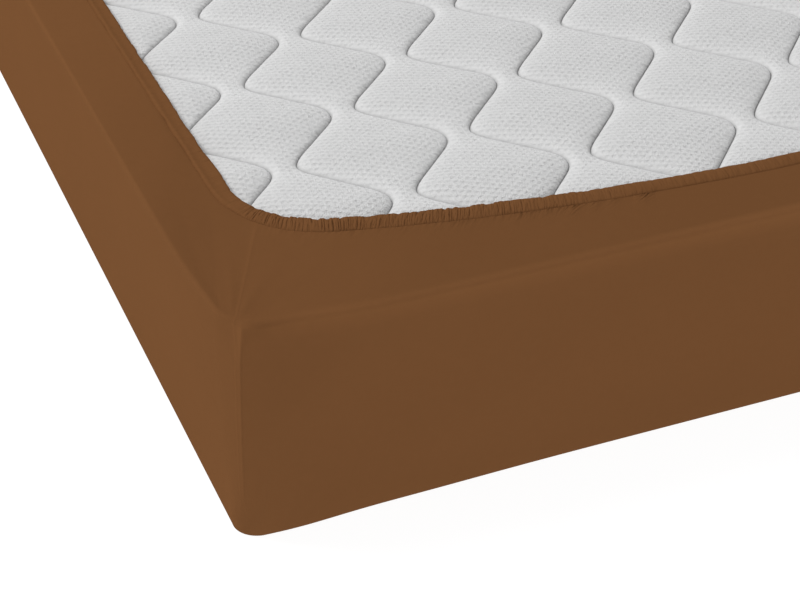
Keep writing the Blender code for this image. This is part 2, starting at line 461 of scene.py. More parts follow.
def makeWhiteKnit():
    # Soft white knit with staggered dimples. The "stitching" values hold a place along the nearest line,
    # its slant, and a groove that is 1 on the line and fades beside it. A power of the groove paints shade
    # into the colour of the line's groove, and 1 minus the groove is what is left of the dimples. Where the
    # slant says that the line runs away to the right its flank is turned from the light: more painted shade,
    # and puckers drawn out across it by noise, which paint their shade into the colour as well as bumping
    # it. The "shade" values are painted shade where they are above 0 and painted light below.
    material, tree, shader = startMaterial("whiteKnit", whiteFinish["shader"])
    place = addNode(tree, "TexCoord")["Object"]
    mottle = addGroup(tree, softMottle, place, whiteFinish["mottle"])
    knit = addGroup(tree, dimpledKnit, place, whiteFinish["knit"])
    split = addNode(tree, "SeparateXYZ", {"Vector": readValues(tree, "stitching", "Vector")})
    slant = split["Y"]
    groove = split["Z"]
    crumple = addDrawnNoise(tree, split["X"], groove, whiteFinish["puckerRepeats"], 1.0)
    pucker = addMath(tree, "MULTIPLY", addMath(tree, "SUBTRACT", crumple, 0.5), groove)
    pucker = addMath(tree, "MULTIPLY", pucker, addRange(tree, slant, *whiteFinish["tightSlants"]))
    # The puckers' painted shade in the colour.
    paintedPuckerShade = addMath(tree, "MULTIPLY_ADD", pucker, whiteFinish["puckerShade"], 1.0)
    loose = addMath(tree, "SUBTRACT", 1.0, groove)
    height = addMath(tree, "MULTIPLY", knit["Height"], loose)
    dimple = addMath(tree, "MULTIPLY", knit["Dimple"], loose)
    dimple = addMath(tree, "MULTIPLY_ADD", dimple, -whiteFinish["dimpleShade"], 1.0)
    # Painted shade in the stitched grooves, less of it on lines that run back.
    paintedGrooveShade = addMath(tree, "POWER", groove, whiteFinish["groovePower"])
    slantShade = addRange(tree, slant, *whiteFinish["backSlants"], whiteFinish["backShare"])
    paintedGrooveShade = addMath(tree, "MULTIPLY", paintedGrooveShade, slantShade)
    paintedGrooveShade = addMath(tree, "MULTIPLY_ADD", paintedGrooveShade, -whiteFinish["grooveShade"], 1.0)
    shade = readValues(tree, "shade", "Fac")
    # Painted shade where the values are above 0, painted light below.
    darker = addMath(tree, "MULTIPLY_ADD", shade, -whiteFinish["paintedShadeAmount"], 1.0)
    tintBy(tree, whiteFinish["colour"], [mottle["Factor"], dimple, paintedGrooveShade, paintedPuckerShade, darker], shader)
    bumpChain(tree, shader, [(height, whiteFinish["dimpleDepth"]), (pucker, whiteFinish["pucker"])])
    return material


brownCloth = makeBrownCloth("brownCloth", 1.0)
brownHem = makeBrownCloth("brownHem", 1.05)
brownThread = makeBrownCloth("brownThread", 1.12)
whiteKnit = makeWhiteKnit()
print("materials are made")


cloth = {
    "thickness": 0.002,
    "beside": 0.32,  # length of the finer columns on each side of a corner
    "columns": (32, 62, 64, 62, 16),  # far and near long side, corner, near and far short side
    "underShares": (0.45, 0.80, 0.96),  # rings of the flat panel, as shares of its outline
    "footSteps": 4,
    "wallSteps": 14,
    "topSteps": 7,
    "girthRow": 8,  # the row of the wall that the cloth's length is measured on
    "bandShares": (0.06, 0.15, 0.27, 0.40, 0.53, 0.66, 0.78, 0.88, 0.95, 1.0),
    "bandEdge": 0.0222,  # where the band meets the hem's stitches, from the free edge
    # rows under the hem: distance from the free edge, height over the band
    "tuck": ((0.0208, -0.0002), (0.0190, -0.0012), (0.0150, -0.0018), (0.0080, -0.0020), (0.0025, -0.0017)),
    "creaseTurn": 0.625,  # the upright crease, a little past the seam at one half
    "creaseU": 0.20,  # its place and the middle points of its curves, as shares of the radius
    "creaseV": 0.03,
    "archLong": 0.55,
    "archLeave": 0.035,
    "archShort": 0.85,
    "creaseFrom": (0.012, 0.060),  # heights between which the crease grows and fades
    "creaseTo": (0.234, 0.250),
    "creasePull": 0.0040,  # how far the long wall is drawn in beside the crease
    "pullReach": (0.12, 0.07),
    "free": (0.004, 0.020),  # climbs between which the folds begin
    "waveHeight": 0.0005,
    "waveTurns": (9, 6),  # along the loop and up the wall
    "swells": ((0.0004, 0.11, 7),),
    "seamHeight": 0.0004,
    "seamReach": 0.013,  # as a share of the corner's turn
    "seamRise": (0.01, 0.05),
    "seamLean": 0.10,
    "leanRise": (0.215, 0.250),
    "folds": {
        "seed": 4,
        "shares": (0.4, 1.3),  # of a fold's rise in the three other corners
        "bandRise": (0.252, 0.270),  # climbs between which the band's folds begin
    },
    # Painted light and shade, lifting or lowering the cloth's colour where the light falls on it or does
    # not.
    "paintedLight": {
        "line": 0.98,  # a painted highlight along the short side's upper edge
        "lineClimb": (0.0005, 0.0050),  # its place past the middle of the rounded edge, and its reach
        "glow": 0.32,  # a softer painted highlight below it
        "glowClimb": (-0.0090, 0.010),
        "lineStart": (0.03, 0.12),  # places from the seam between which both begin
        "farther": 0.3,  # how much more of both there is far from the corner
        "fartherStart": (0.40, 0.50),
        "shortBand": -0.15,  # painted shade on the short side's band, painted light on the long side's
        "shortClimb": (0.004, 0.010),
        "shortStart": (0.12, 0.25),
        "longBand": 0.36,
        "longClimb": (-0.003, 0.003),
        "longStart": (0.12, 0.55),
        # a painted highlight along the corner seam
        "seam": 0.30,
        "seamTurn": (0.5, 0.011),
        "seamClimb": (0.02, 0.06),
        "patch": 0.72,  # a painted pool of light under the edge at the corner
        "patchTurn": (0.66, 0.14),
        "patchClimb": (-0.0120, 0.015),
    },
    "puckers": {
        "rise": (-0.01, 0.03),  # places from the seam between which they grow, and fade along the short side
        "fall": (0.25, 0.42),
        "tucks": (0.331, 0.355, 0.376, 0.411),  # small single folds farther along the short side
        "tuckDepth": 1.5,
        "tuckReach": 0.007,
        "least": 0.8,
        "more": 1.4,
        "moreRise": (-0.3, 0.8),
        "moreNoise": (0.045, 71),  # pitch and seed
        "reach": 0.010,  # how far they run from the hem
        "under": -0.001,  # there are none farther under the hem than this
        "lean": 0.8,
        "leanStart": (0.30, 0.34),
    },
}


def clothColumns():
    # Places round the loop: 2.5 mm apart in a corner, 5 mm beside it, wider towards the middle of a side.
    cornerEnd = longRun + cornerRun
    marks = [0, longRun - cloth["beside"], longRun, cornerEnd, cornerEnd + cloth["beside"], quarterRun]
    parts = [np.linspace(start, end, count, endpoint=False)
             for start, end, count in zip(marks, marks[1:], cloth["columns"])]
    quarter = np.concatenate([*parts, [quarterRun]])
    back = quarterRun * 2 - quarter[::-1]
    half = np.concatenate([quarter, back[1:-1]])
    return np.concatenate([half, half + 2 * quarterRun])


def curve(first, second, third, t):
    # (1 - t)^2 first + 2 t (1 - t) second + t^2 third.
    return (1 - t) ** 2 * first + 2 * t * (1 - t) * second + t ** 2 * third


def creasedCorner(turn, radius):
    # Two curves: nearly straight from the long side to the crease, and rounder on to the short side.
    fold = cloth["creaseTurn"]
    before = np.clip(turn / fold, 0, 1)
    after = np.clip((turn - fold) / (1 - fold), 0, 1)
    past = turn > fold
    longU = curve(0, cloth["archLeave"], cloth["creaseU"], before)
    longV = curve(1, cloth["archLong"], cloth["creaseV"], before)
    shortU = curve(cloth["creaseU"], cloth["archShort"], 1, after)
    shortV = curve(cloth["creaseV"], 0, 0, after)
    return radius * np.where(past, shortU, longU), radius * np.where(past, shortV, longV)


def drawnIn(draw, distance):
    # depth * exp(-(distance / reach)^power).
    return draw["depth"] * np.exp(-(distance / draw["reach"]) ** draw["power"])


def wallPoint(place, inset, height):
    # A rounded rectangle whose corners widen upwards. The elastic draws it in near the corners, the foot
    # swells there by turn * depths * (1 - level)^2, and the wall has a slight belly. Near the top the seam's
    # column leans back to the long side. Beside the crease the long wall comes in by two humps.
    turn = place["turn"]
    level = np.clip(height / bed["height"], 0, 1)
    radius = blend(bed["footCorner"], bed["topCorner"], level)
    lean = cloth["seamLean"] * smoothStep(*cloth["leanRise"], height)
    angle = (turn - lean * np.sin(np.pi * turn)) * rightAngle
    restU = place["short"] * (halfWidth - radius)
    restV = place["long"] * (halfLength - radius)
    arcU = radius - radius * np.cos(angle)
    arcV = radius - radius * np.sin(angle)
    creaseU, creaseV = creasedCorner(turn, radius)
    between = fadeInOut(cloth["creaseFrom"], cloth["creaseTo"], height)
    creased = between * (turn > 0) * (turn < 1)
    u = blend(arcU, creaseU, creased) + restU
    v = blend(arcV, creaseV, creased) + restV
    pullU, pullV = cloth["pullReach"]
    u = u + cloth["creasePull"] * between * hump(u, 0, pullU) * hump(v, 0, pullV)
    fromLong = arcU + restU
    drawn = blend(drawnIn(bed["longDraw"], arcV + restV), drawnIn(bed["shortDraw"], fromLong), turn)
    swollen = sum(depth * hump(fromLong, middle, reach) for depth, middle, reach in bed["footSwells"])
    belly = bed["belly"] * np.sin(np.pi * level)
    shift = inset + drawn * level ** bed["drawPower"] - turn * swollen * (1 - level) ** 2 - belly
    return u + np.cos(angle) * shift, v + np.sin(angle) * shift


def clothShape(distance):
    # Rows from the underside round the foot edge, up the wall, round the top edge, across the band and
    # under the hem. A row is an inset and a height on the wall, then a share of the way to the hem.
    place = placeOn(distance)
    fromSeam = place["fromSeam"]
    topEdge = blend(bed["longTopEdge"], bed["shortTopEdge"], smoothStep(*bed["topEdgeChange"], fromSeam))
    footAngle = np.linspace(0, rightAngle, cloth["footSteps"] + 1)[:, None]
    topAngle = np.linspace(0, rightAngle, cloth["topSteps"] + 1)[:, None]
    wallShare = np.linspace(0, 1, cloth["wallSteps"] + 1)[1:-1, None]
    foot = bed["footEdge"]
    even = np.ones_like(distance)
    insets = np.vstack([
        foot * (1 - np.sin(footAngle)) * even,
        np.zeros((len(wallShare), len(distance))),
        topEdge * (1 - np.cos(topAngle))])
    heights = np.vstack([
        foot * (1 - np.cos(footAngle)) * even,
        foot + (bed["height"] - topEdge - foot) * wallShare,
        bed["height"] - topEdge * (1 - np.sin(topAngle))])
    wallU, wallV = wallPoint(place, insets, heights)
    wall = toWorld(place, wallU, wallV, heights)
    under = np.stack([wall[0] * share for share in cloth["underShares"]])
    width = stripWidth(fromSeam)
    edgeU, edgeV = openingPoint(place, cloth["bandEdge"] * width)
    shares = np.array(cloth["bandShares"])[:, None]
    band = toWorld(place, blend(wallU[-1], edgeU, shares), blend(wallV[-1], edgeV, shares), bed["height"])
    tuck = [toWorld(place, *openingPoint(place, outward * width), bed["height"] + rise)
            for outward, rise in cloth["tuck"]]
    return place, under, wall, band, np.stack(tuck)


def surfaceNormals(points):
    # Across the row times up the column, with the loop closed.
    along = np.roll(points, -1, axis=1) - np.roll(points, 1, axis=1)
    normal = np.cross(along, np.gradient(points, axis=0))
    return normal / np.maximum(np.linalg.norm(normal, axis=-1, keepdims=True), 1e-12)


# Creases and swellings of the band and the walls, placed near the corners: the place from the seam
# along the loop, short side positive; the climb, the height over the foot or past the top edge on the band;
# half length, half width, tilt and rise.
softFolds = [
    (0.020, 0.300, 0.060, 0.009, 1.25, 0.0010),
    (-0.022, 0.300, 0.050, 0.010, 1.85, 0.0008),
    (0.065, 0.285, 0.050, 0.012, 0.85, -0.0008),
    (-0.110, 0.290, 0.080, 0.016, 2.60, -0.0012),
    (0.130, 0.180, 0.070, 0.030, 0.70, 0.0012),
    (0.290, 0.110, 0.120, 0.040, 0.45, 0.0014),
    (-0.180, 0.120, 0.120, 0.035, 2.50, 0.0012),
]


def foldRise(fromSeam, climb, quarter):
    # Each fold: rise * exp(-(on its line / long)^2) * exp(-(off its line / wide)^2). Each corner has its own
    # share of every fold, so that no two corners are alike. The band's folds fade out at the top edge.
    total = 0
    folds = cloth["folds"]
    shares = np.random.default_rng(folds["seed"]).uniform(*folds["shares"], (4, len(softFolds)))
    shares[0] = 1.0
    onBand = smoothStep(*folds["bandRise"], climb)
    for (along, middle, long, wide, tilt, rise), share in zip(softFolds, shares.T):
        offAlong = fromSeam - along
        offClimb = climb - middle
        onLine = offAlong * math.cos(tilt) + offClimb * math.sin(tilt)
        offLine = offClimb * math.cos(tilt) - offAlong * math.sin(tilt)
        shape = rise * share[quarter] * hump(onLine, 0, long) * hump(offLine, 0, wide)
        total = total + (shape * onBand if middle > bed["height"] else shape)
    return total


def paintedLightValues(turn, fromSeam, climb, past):
    # Painted light and shade, how much the colour is lifted or lowered: humps across the rounded edge for
    # the highlight line and the glow, steps past it for the bands, and humps round the corner for the seam
    # and the patch.
    paintedLight = cloth["paintedLight"]
    line = paintedLight["line"] * hump(past, *paintedLight["lineClimb"]) + paintedLight["glow"] * hump(past, *paintedLight["glowClimb"])
    line = line * (1 + paintedLight["farther"] * smoothStep(*paintedLight["fartherStart"], fromSeam))
    total = line * smoothStep(*paintedLight["lineStart"], fromSeam)
    for side, onward in (("short", fromSeam), ("long", -fromSeam)):
        band = smoothStep(*paintedLight[side + "Climb"], past) * smoothStep(*paintedLight[side + "Start"], onward)
        total = total + paintedLight[side + "Band"] * band
    total = total + paintedLight["seam"] * hump(turn, *paintedLight["seamTurn"]) * smoothStep(*paintedLight["seamClimb"], climb)
    return total + paintedLight["patch"] * hump(turn, *paintedLight["patchTurn"]) * hump(past, *paintedLight["patchClimb"])


def puckerValues(distance, fromSeam, hemward):
    # A place along and across the hem and a depth: the gathers beside the corner and the single tucks,
    # times least + more * a step of noise, times exp(-hemward / reach). Along the short side they lean.
    puckers = cloth["puckers"]
    tucks = sum(hump(fromSeam, middle, puckers["tuckReach"]) for middle in puckers["tucks"])
    depth = fadeInOut(puckers["rise"], puckers["fall"], fromSeam) + puckers["tuckDepth"] * tucks
    more = smoothStep(*puckers["moreRise"], loopNoise(distance, *puckers["moreNoise"]))
    depth = depth * (puckers["least"] + puckers["more"] * more)
    depth = depth * np.exp(-np.abs(hemward) / puckers["reach"]) * (hemward > puckers["under"])
    leaning = distance + puckers["lean"] * hemward * smoothStep(*puckers["leanStart"], fromSeam)
    return together(leaning, hemward, depth)


def makeCloth():
    # The rows are moved along their normals by the folds, slow waves and the seam's low ridge. A fan of
    # triangles closes the panel underneath, which stays flat. The UV map is the cloth laid out in metres.
    distance = clothColumns()
    columns = len(distance)
    place, under, wall, band, tuck = clothShape(distance)
    points = np.concatenate([under, wall, band, tuck])
    climb = np.cumsum(np.linalg.norm(np.diff(points, axis=0, prepend=points[:1]), axis=-1), axis=0)
    climb = climb - climb[len(under)]
    fromSeam = place["fromSeam"]
    hemRow = len(under) + len(wall) + len(band) - 1
    free = smoothStep(*cloth["free"], climb)
    free[hemRow:] = 0
    wavesAlong, wavesUp = cloth["waveTurns"]
    waves = cloth["waveHeight"] * np.sin(distance * wavesAlong + climb * wavesUp)
    seam = cloth["seamHeight"] * hump(place["turn"], 0.5, cloth["seamReach"])
    seam = seam * smoothStep(*cloth["seamRise"], climb)
    waves = waves + mixedNoise(distance, cloth["swells"])
    rise = (foldRise(fromSeam, climb, place["quarter"]) + waves + seam) * free
    points = points + surfaceNormals(points) * rise[..., None]
    rows = len(points)
    ring = np.arange(columns)
    fan = together(rows * columns, (ring + 1) % columns, ring)
    girthRow = wall[cloth["girthRow"]]
    girth = np.linalg.norm(np.roll(girthRow, -1, axis=0) - girthRow, axis=-1)
    girth = np.concatenate([[0.0], np.cumsum(girth)])
    lay = together(girth, np.column_stack([climb, climb[:, :1]]))
    flat = np.concatenate([points, points[:, :1]], axis=1)[..., :2]
    lay[:len(under)] = flat[:len(under)]
    fanUv = np.stack([np.zeros((columns, 2)), flat[0, 1:], flat[0, :-1]], axis=1).reshape(-1, 2)
    uv = np.concatenate([gridCorners(lay), fanUv])
    points = np.vstack([points.reshape(-1, 3), np.zeros(3)])
    piece = makePiece("sheetCloth", points, [gridFaces(rows, columns, closed=True), fan], brownCloth, uv)
    past = climb - climb[len(under) + cloth["footSteps"] + cloth["wallSteps"] + cloth["topSteps"] // 2]
    # Painted light and shade along the upper edge, the bands, the seam and the corner.
    pale = paintedLightValues(place["turn"], fromSeam, climb, past)
    gathers = puckerValues(distance, fromSeam, climb[hemRow] - climb)
    addValues(piece, "paintedLight", pale, 1)
    addValues(piece, "puckers", gathers, 3)
    thick = piece.modifiers.new("thickness", "SOLIDIFY")
    thick.thickness = cloth["thickness"]
    thick.offset = -1.0
    thick.use_even_offset = False
    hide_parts("fitted_sheet")
    return piece


sheetCloth = makeCloth()


hem = {
    "pitchCorner": 0.0039,  # width of a pleat round the corner, then where the gathers are slack
    "pitchSlack": 0.0125,
    "sums": 20001,  # places that the pleats' density is summed on
    "uneven": 0.38,  # how far a pleat strays, as a share of its width
    "depthCorner": 0.0011,
    "depthShort": 0.0007,
    "depthLong": 0.00025,
    "shortStart": (-0.10, 0.06),  # places from the seam between which the short side's values begin
    "shortFade": (0.16, 0.44),  # distances from the seam over which the gathers fade, then on the long side
    "longFade": (0.006, 0.038),
    "ownDepth": (0.25, 1.5),  # a pleat's own share of the depth
    "liftPower": 0.4,
    "liftMiddle": 0.8,
    "clusters": ((0.45, 0.024, 81),),  # noises have a size, a pitch and a seed
    "swing": ((0.0005, 0.040, 21),),
    "fringe": 0.0013,  # pits along the free edge
    "fringeRise": (0.45, 0.85),  # shares of the strip's width between which the fringe begins
    "fringeCalm": 0.6,  # how much of the pleats it takes away
    "pits": {"least": 0.25, "more": -1.5, "rise": (0.0, 0.9), "noise": (0.0042, 31)},
    "slackPits": 0.40,  # share of the pits and puckers where the gathers are slack
    "ragged": 0.0009,  # how far the free edge strays
    "raggedNoise": ((0.7, 0.019, 61), (0.5, 0.0075, 62)),
    "raggedPleats": 0.4,
    "bulge": 0.0034,  # how far it stands out just before the corner
    "bulgePlace": (-0.110, 0.050),
    "wobble": 0.0009,  # how far the stitched side strays
    "wobbleNoise": ((0.7, 0.031, 41), (0.6, 0.009, 42)),
    "wobbleFade": (0.0, 0.3),
    "leanCorner": -0.0050,  # how far a pleat leans across the strip, at the seam and along the short side
    "leanShort": 0.0060,
    "leanChange": (0.02, 0.13),
    "leanNoise": ((0.0012, 0.017, 51),),
    "leanPivot": 0.2,
    "lowest": -0.0016,  # no point of the strip is lower, from the top of the band
    "closing": 0.0085,  # width of the strip's underside in the UV map
    "gathering": 1.15,  # the gathered cloth is longer than its strip
    "puckerScale": (2.8, 2.0, 0.9),  # of the small puckers along, across and in depth
    "seed": 11,
}

# The strip's section from its stitched side over the top to its free edge and back below: distance from the
# free edge, height on the long sides, height on the short sides, share of a pleat's depth.
hemSection = np.array([
    (0.0225, -0.0008, -0.0008, 0.0),
    (0.0221, 0.0001, 0.0002, 0.1),
    (0.0213, 0.0009, 0.0009, 0.3),
    (0.0201, 0.0018, 0.0016, 0.6),
    (0.0185, 0.0022, 0.0022, 0.9),
    (0.0167, 0.0020, 0.0028, 1.0),
    (0.0146, 0.0014, 0.0034, 1.0),
    (0.0118, 0.0010, 0.0040, 1.0),
    (0.0085, 0.0010, 0.0044, 1.0),
    (0.0050, 0.0011, 0.0041, 1.0),
    (0.0022, 0.0011, 0.0032, 0.9),
    (0.0005, 0.0006, 0.0020, 0.8),
    (0.0000, -0.0003, 0.0006, 0.5),
    (0.0009, -0.0010, -0.0006, 0.2),
    (0.0050, -0.0013, -0.0013, 0.0),
    (0.0130, -0.0016, -0.0016, 0.0),
])
pleatSteps = np.array([0.0, 0.06, 0.16, 0.36, 0.62, 0.83, 0.94])


def gatherStrength(fromSeam):
    # 1 round a corner and along the near part of the short side, falling away on both sides.
    shortSide = 1 - smoothStep(*hem["shortFade"], fromSeam)
    longSide = 1 - smoothStep(*hem["longFade"], -fromSeam)
    return np.where(fromSeam > 0, shortSide, longSide)


def pleatPlaces():
    # Pleats of uneven width laid one after another round the loop: the density 1 / pitch is summed and cut
    # at whole numbers, each moved a little by seeded chance.
    chance = np.random.default_rng(hem["seed"])
    fine = np.linspace(0, loopRun, hem["sums"])
    place = placeOn(np.minimum(fine, loopRun - 1e-9))
    strength = gatherStrength(place["fromSeam"])
    pitch = blend(hem["pitchSlack"], hem["pitchCorner"], strength)
    steps = np.diff(fine) * 0.5 * (1 / pitch[1:] + 1 / pitch[:-1])
    total = np.concatenate([[0], np.cumsum(steps)])
    count = int(total[-1])
    marks = np.arange(count) + chance.uniform(-hem["uneven"], hem["uneven"], count)
    marks[0] = 0
    return np.interp(marks * total[-1] / count, total, fine), count


def makeHem():
    # A pleat is narrow in its valley and round on its top: its lift is sin(pi t)^power over its width. Each
    # has its own depth at the stitched side and at the free side, where finer crumples cross it.
    starts, count = pleatPlaces()
    chance = np.random.default_rng(hem["seed"] + 1)
    widths = np.diff(np.append(starts, loopRun))
    distance = (starts[:, None] + widths[:, None] * pleatSteps).ravel()
    lift = np.tile(np.sin(np.pi * pleatSteps) ** hem["liftPower"], count) - hem["liftMiddle"]
    atStitches, atEdge = np.repeat(chance.uniform(*hem["ownDepth"], (2, count)), len(pleatSteps), axis=1)
    place = placeOn(distance)
    fromSeam = place["fromSeam"]
    strength = gatherStrength(fromSeam)
    shortness = smoothStep(*hem["shortStart"], fromSeam)
    depth = blend(blend(hem["depthLong"], hem["depthShort"], shortness), hem["depthCorner"], strength)
    depth = depth * (1 + mixedNoise(distance, hem["clusters"]))
    outward, longRise, shortRise, pleatShare = (part[:, None] for part in hemSection.T)
    inward = 1 - outward / hemSection[0, 0]
    lean = blend(hem["leanCorner"], hem["leanShort"], smoothStep(*hem["leanChange"], fromSeam))
    lean = lean * strength + mixedNoise(distance, hem["leanNoise"])
    leaning = distance + place["onward"] * lean * (inward - hem["leanPivot"])
    own = blend(atStitches, atEdge, inward)
    fringe = smoothStep(*hem["fringeRise"], inward)
    pits = hem["pits"]
    crumpled = blend(hem["slackPits"], 1.0, strength)
    crumple = pits["least"] + pits["more"] * smoothStep(*pits["rise"], loopNoise(distance, *pits["noise"]))
    edge = mixedNoise(distance, hem["raggedNoise"]) + hem["raggedPleats"] * strength * lift
    edge = hem["ragged"] * edge + hem["bulge"] * hump(fromSeam, *hem["bulgePlace"])
    wobble = hem["wobble"] * mixedNoise(distance, hem["wobbleNoise"])
    wobble = wobble * (1 - smoothStep(*hem["wobbleFade"], inward))
    leanPlace = placeOn(leaning % loopRun)
    u, v = openingPoint(leanPlace, outward * stripWidth(fromSeam) - edge * fringe + wobble)
    pleat = depth * own * lift * (1 - hem["fringeCalm"] * fringe)
    pleat = pleat + hem["fringe"] * crumple * crumpled * fringe + mixedNoise(distance, hem["swing"])
    height = blend(longRise, shortRise, shortness) + pleatShare * pleat
    points = toWorld(leanPlace, u, v, bed["height"] + np.maximum(height, hem["lowest"]))
    rows, columns = points.shape[:2]
    ring = np.arange(columns)
    after = (ring + 1) % columns
    last = (rows - 1) * columns
    closing = together(last + ring, last + after, after, ring)
    faces = np.concatenate([gridFaces(rows, columns, closed=True), closing])
    girth = np.append(distance, loopRun) * hem["gathering"]
    climb = np.linalg.norm(np.diff(hemSection[:, [0, 2]], axis=0), axis=1)
    climb = np.concatenate([[0.0], np.cumsum(climb)])
    lay = together(girth, np.append(climb, climb[-1] + hem["closing"])[:, None])
    piece = makePiece("gatheredHem", points.reshape(-1, 3), [faces], brownHem, gridCorners(lay))
    gathers = together(distance, climb[:, None], crumpled) * hem["puckerScale"]
    addValues(piece, "puckers", gathers, 3)
    return piece


gatheredHem = makeHem()

hemThread = {
    "pitch": 0.0034,
    "length": 0.0023,
    "radius": 0.00028,
    "outward": 0.0221,
    "height": 0.0002,
    "ahead": 0.001,  # how far along the loop a stitch looks for its heading
    "sides": 6,
    "shares": (-0.85, 0.0, 0.85),  # where a stitch's rings are, as shares of its half length
    "blunt": 0.9,
}


def stitchPlaces(distance):
    # Points at one distance from the free edge, in the groove beside the strip.
    place = placeOn(distance % loopRun)
    outward = hemThread["outward"] * stripWidth(place["fromSeam"])
    return toWorld(place, *openingPoint(place, outward), bed["height"] + hemThread["height"])


def makeHemStitches():
    # Even steps round the loop. Each stitch is a bead drawn out along its heading, closed by a point at
    # each end: radius * sqrt(1 - (blunt * share)^2) at the share of its half length.
    sides = hemThread["sides"]
    count = int(loopRun / hemThread["pitch"])
    distance = np.arange(count) * loopRun / count
    middles = stitchPlaces(distance)
    headings = stitchPlaces(distance + hemThread["ahead"]) - middles
    headings = headings / np.linalg.norm(headings, axis=-1, keepdims=True)
    side = together(-headings[:, 1], headings[:, 0], 0.0)[:, None, None]
    up = np.cross(headings, side[:, 0, 0])[:, None, None]
    spin = (np.arange(sides) * 2 * np.pi / sides)[:, None]
    shares = np.array(hemThread["shares"])[:, None, None]
    radius = hemThread["radius"] * np.sqrt(1 - (shares * hemThread["blunt"]) ** 2)
    half = hemThread["length"] / 2
    rings = middles[:, None, None] + headings[:, None, None] * shares * half
    rings = rings + (np.cos(spin) * side + np.sin(spin) * up) * radius
    tips = middles[:, None] + headings[:, None] * np.array([[-half], [half]])
    points = np.concatenate([rings.reshape(count, -1, 3), tips], axis=1)
    each = points.shape[1]
    ring = np.arange(sides)
    after = (ring + 1) % sides
    lastRing = (len(shares) - 1) * sides
    first = together(each - 2, after, ring)
    last = together(each - 1, ring + lastRing, after + lastRing)
    start = (np.arange(count) * each)[:, None, None]
    quads = (gridFaces(len(shares), sides, closed=True) + start).reshape(-1, 4)
    ends = (np.concatenate([first, last]) + start).reshape(-1, 3)
    uv = np.zeros((quads.size + ends.size, 2))
    piece = makePiece("hemStitches", points.reshape(-1, 3), [quads, ends], brownThread, uv)
    return piece


hemStitches = makeHemStitches()


quilt = {
    "firstLine": -0.5687,  # x of line 0 where its wave is half way
    "firstWave": -0.2406,  # y of the same place
    "linePitch": 0.10754,
    "lean": 0.0328,  # the lines aren't quite square to the bed
    "waveLean": 0.0009,  # how far the wave moves from line to line
    "swing": 0.03585,
    "tightness": 0.050,  # share of a third harmonic: straighter runs and tighter turns
    "wave": 0.2185,
    "lines": (-2, 13),
    "between": 18,
    "rowStep": 0.0065,
    "stitchHeight": 0.2340,
    "pillow": 0.0172,
    "sharpShare": 0.25,  # of the pillow's rise, close to its stitches
    "sharpReach": 0.0019,
    "softReach": 0.028,
    "pressed": 0.60,  # how much of the pillow the hem presses away
    "pressedTo": (-0.012, 0.022),
    "dip": {"place": (-0.279, -0.872), "reach": 0.016, "depth": 0.014},  # a hollow beside the hem
    "evenWidth": 0.600,  # where the lines begin to crowd under the hem, from the middle
    "edgeWidth": 0.670,  # where the flat top ends, from the middle
    "edgeLength": 0.968,
    "edgeCorner": 0.045,
    "grooveReach": 0.0045,
    "grooveShares": (0.06, 0.25),  # shares of a pillow's width between which the groove grows
    "lineStretch": 0.37,
    # the mattress below its top: distance out from the top's outline, and height
    "sides": ((0.006, 0.2400), (0.011, 0.2345), (0.015, 0.2240), (0.016, 0.180), (0.0165, 0.100),
              (0.0165, 0.030), (0.014, 0.012), (0.009, 0.0025)),
    "unevenAcross": (0.05, 23, 1.3, 17),
    "unevenAlong": (0.04, 31, 2.0, 13),
    # Painted light and shade of the quilt's colour, where light falls on the pillows and shadow in the
    # slits.
    "shade": {
        "farReach": 0.0018,  # of the painted shadow in the slit on the far side of a line that runs back
        "nearLight": -0.45,  # painted light on its near side
        "nearReach": 0.014,
        "backSlants": (0.1, 0.7),  # how far a line runs back, between which both grow
        "neckWidths": (0.05, 0.14),  # widths of a pillow between which its neck ends
        "neckLine": 0.18,  # a neck has painted shade on its line and painted light beside it
        "neckLight": -0.42,
        "neckReach": 0.005,
        # painted light at the pillows' tips
        "tipWidths": (0.150, 0.176),
        "tipLight": -0.5,
        "tipReach": 0.015,
    },
}


def quiltLine(line, y):
    # x = first + pitch * line + lean * (y - first) + swing * (cos a + tightness * cos 3a), where a is the
    # angle of the wave; every second line is half a wave on. Also the line's slope, the derivative by y.
    turns = (quilt["firstWave"] + quilt["waveLean"] * line - y) / quilt["wave"] - (line % 2) / 2
    angle = 2 * np.pi * turns
    x = quilt["firstLine"] + quilt["linePitch"] * line + quilt["lean"] * (y - quilt["firstWave"])
    x = x + quilt["swing"] * (np.cos(angle) + quilt["tightness"] * np.cos(3 * angle))
    steep = quilt["swing"] * 2 * np.pi / quilt["wave"]
    slope = quilt["lean"] + steep * (np.sin(angle) + 3 * quilt["tightness"] * np.sin(3 * angle))
    return x, slope


def insideOpening(x, y):
    # Distance inside the free edge: from the long side, from the bow, and rounded where both are near.
    u = halfWidth - np.abs(x)
    v = halfLength - np.abs(y)
    fromLong = u - opening["longTurnIn"]
    fromShort = opening["shortRadius"] - np.hypot(u - bowCentre[0], v - bowCentre[1])
    radius = opening["cornerRadius"]
    rounded = radius - np.hypot(np.maximum(radius - fromLong, 0), np.maximum(radius - fromShort, 0))
    return np.where((fromLong < radius) & (fromShort < radius), rounded, np.minimum(fromLong, fromShort))


def quiltGrid():
    # Each column's line and its share of the way to the next line: columns crowd beside the lines.
    low, high = quilt["lines"]
    steps = quilt["between"]
    shares = 0.5 - 0.5 * np.cos(np.pi * np.arange(steps) / steps)
    shares = shares - 0.5 * np.sin(2 * np.pi * shares) / (2 * np.pi)
    line = np.append(np.repeat(np.arange(low, high), steps), high - 1)
    share = np.append(np.tile(shares, high - low), 1.0)
    rows = int(2 * quilt["edgeLength"] / quilt["rowStep"])
    return line, share, np.linspace(-quilt["edgeLength"], quilt["edgeLength"], rows)[:, None]


